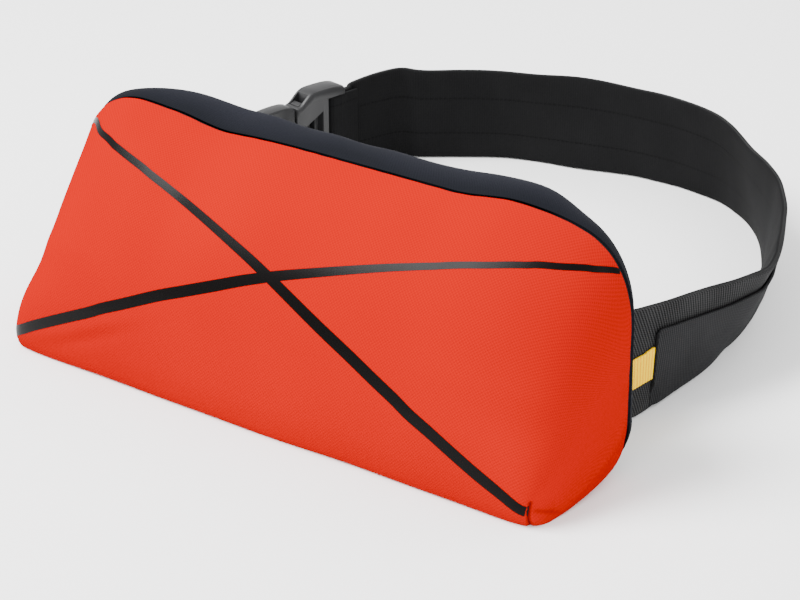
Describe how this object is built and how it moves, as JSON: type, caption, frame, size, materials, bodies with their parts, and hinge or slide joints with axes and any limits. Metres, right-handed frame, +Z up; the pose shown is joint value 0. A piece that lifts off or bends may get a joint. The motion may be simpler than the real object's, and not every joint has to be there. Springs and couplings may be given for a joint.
{
  "type": "inflatable belt pack",
  "caption": "Wedge-shaped waist pouch of coated cloth with a grey side band, crossed stripes and a wide webbing belt fastened by a side-release buckle.",
  "frame": {"origin": "middle of the pouch's flat base, between its left and right ends", "axes": "+X along the pouch towards its right end, +Y from its front towards the belt, +Z up"},
  "size_m": [0.321, 0.3588, 0.1149],
  "materials": {
    "orange_cloth": "fine coated ripstop, slight sheen",
    "black_trim": "matte",
    "slate_cloth": "matte, smooth",
    "stripe_film": "glossy film",
    "black_webbing": "ribbed webbing",
    "cover_webbing": "twill, matte",
    "yellow_tape": "ribbed tape",
    "buckle_plastic": "satin moulded"
  },
  "bodies": {
    "root": {"front_panel": "orange_cloth", "seam_binding": "black_trim", "gusset": "slate_cloth", "back_panel": "slate_cloth", "cross_stripes": "stripe_film", "waist_band": "black_webbing", "band_cover": "cover_webbing", "pull_tape": "yellow_tape", "buckle_socket": "buckle_plastic", "buckle_plug": "buckle_plastic", "band_loop": "black_webbing", "left_strap": "black_webbing", "strap_loop": "black_webbing"}
  },
  "joints": []
}
